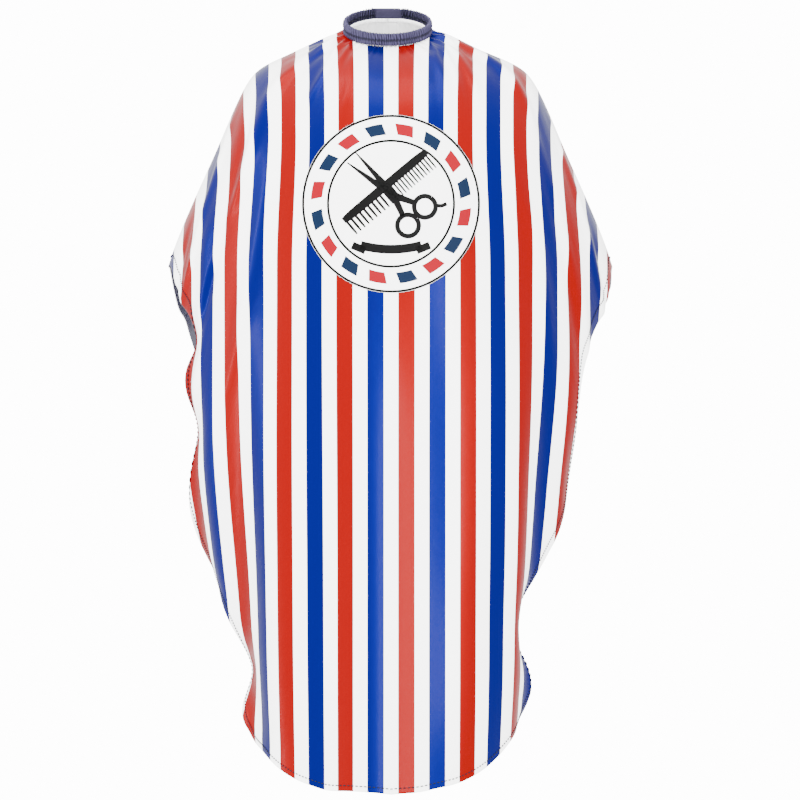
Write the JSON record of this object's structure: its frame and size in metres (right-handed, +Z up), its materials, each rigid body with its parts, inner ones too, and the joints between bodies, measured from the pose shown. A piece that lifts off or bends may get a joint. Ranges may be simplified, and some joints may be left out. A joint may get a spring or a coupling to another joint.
{
  "type": "barber cape",
  "caption": "Long striped barber cape: one draped polyester sheet gathered into a ruched elastic neckband that closes with a hook-and-loop tab at the nape.",
  "frame": {"origin": "middle of the neckband, on the axis of the wearer's neck, half way up the band", "axes": "+Z up, the wearer faces -Y, +X is the wearer's left"},
  "size_m": [0.6526, 0.2469, 1.135],
  "materials": {
    "striped_cloth": "satin",
    "slate_tape": "satin",
    "slate_band": "matte",
    "thread": "satin",
    "print_film": "satin",
    "elastic": "matte",
    "hook_and_loop": "matte"
  },
  "bodies": {
    "cape": {"cape_cloth": "striped_cloth", "hem_facing": "slate_tape", "slit_facing_left": "striped_cloth", "slit_facing_right": "striped_cloth", "hem_stitching": "thread", "chest_emblem": "print_film", "neckband_casing": "slate_band", "neck_elastic": "elastic", "neckband_stitching": "thread", "closure_under_tab": "slate_band", "hook_tape": "hook_and_loop", "elastic_tack_left": "thread", "elastic_tack_right": "thread"},
    "closure": {"closure_outer_tab": "slate_band", "loop_tape": "hook_and_loop"}
  },
  "joints": [
    {"name": "closure_peel", "type": "hinge", "parent": "cape", "child": "closure", "pos_m": [-0.0184, 0.0503, 0.01634], "axis": [0, -0.309, 0.9511], "range_deg": [0, 110]}
  ]
}
